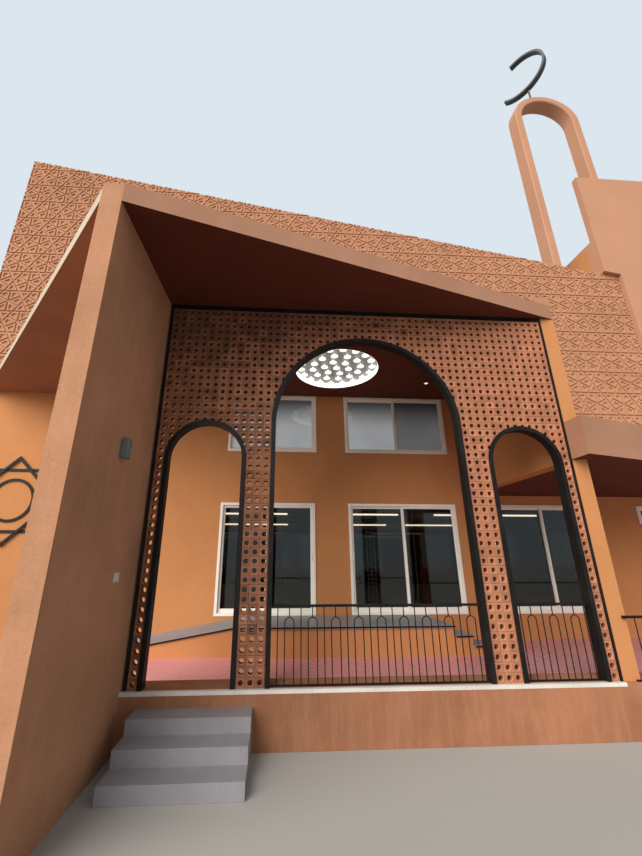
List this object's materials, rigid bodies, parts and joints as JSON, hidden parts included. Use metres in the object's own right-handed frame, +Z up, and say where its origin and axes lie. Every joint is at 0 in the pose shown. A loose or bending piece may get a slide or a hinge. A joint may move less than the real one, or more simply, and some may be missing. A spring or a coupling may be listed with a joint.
{
  "type": "neighbourhood mosque building",
  "caption": "Two-storey mosque with a perforated brick porch screen, folded canopies, relief upper wall and an arch carrying an open crescent.",
  "frame": {"origin": "on the ground under the middle of the brick screen's front face", "axes": "+X right along the front, +Y into the building, +Z up"},
  "size_m": [20.3895, 15.5825, 21.3872],
  "materials": {
    "plaster": "terracotta-coloured cement plaster, matt and slightly rough",
    "soffit": "dark red-brown painted concrete, matt",
    "relief": "pressed relief panels in terracotta cement, matt",
    "clay": "fired clay blocks with pale joints",
    "black_steel": "black paint, satin",
    "white_frame": "white powder coat",
    "clear_glass": "float glass",
    "floor_paint": "red floor coating, glossy",
    "grey_stone": "honed grey stone",
    "white_stone": "pale stone strip",
    "concrete": "bare concrete",
    "lamp_metal": "dark grey powder coat",
    "white_plastic": "moulded white plastic",
    "light_disc": "opal diffuser, lit",
    "grey_steel": "dull grey steel"
  },
  "bodies": {
    "root": {"porch_plinth": "plaster", "porch_floor": "floor_paint", "threshold_strip": "white_stone", "entrance_steps": "grey_stone", "brick_screen": "clay", "screen_border": "black_steel", "main_arch_frame": "black_steel", "left_arch_frame": "black_steel", "right_arch_frame": "black_steel", "main_arch_railing": "black_steel", "right_arch_railing": "black_steel", "right_bay_railing": "black_steel", "fin_wall": "plaster", "wall_lamp": "lamp_metal", "switch_plate": "white_plastic", "porch_canopy": "soffit", "left_canopy": "soffit", "ceiling_light": "light_disc", "downlight": "light_disc", "right_pillar": "plaster", "porch_side_wall": "plaster", "terrace_slab": "plaster", "terrace_parapet": "plaster", "front_wall": "plaster", "relief_wall": "relief", "right_wing_wall": "plaster", "left_side_wall": "plaster", "right_side_wall": "plaster", "back_wall": "plaster", "hall_floor": "concrete", "upper_floor": "concrete", "roof_slab": "concrete", "lower_side_glass": "clear_glass", "upper_side_glass": "clear_glass", "platform": "plaster", "platform_top": "grey_stone", "platform_ramp": "grey_stone", "platform_steps": "grey_stone", "wing_side_wall": "plaster", "wing_roof": "concrete", "tower_wall": "plaster", "minaret_arch": "plaster", "crescent": "grey_steel", "lower_left_window": "white_frame", "lower_left_window_glass": "clear_glass", "lower_centre_window": "white_frame", "lower_centre_window_glass": "clear_glass", "lower_right_window": "white_frame", "lower_right_window_glass": "clear_glass", "high_right_window": "white_frame", "high_right_window_glass": "clear_glass", "upper_left_window": "white_frame", "upper_left_window_glass": "clear_glass", "upper_centre_window": "white_frame", "upper_centre_window_glass": "clear_glass"}
  },
  "joints": []
}
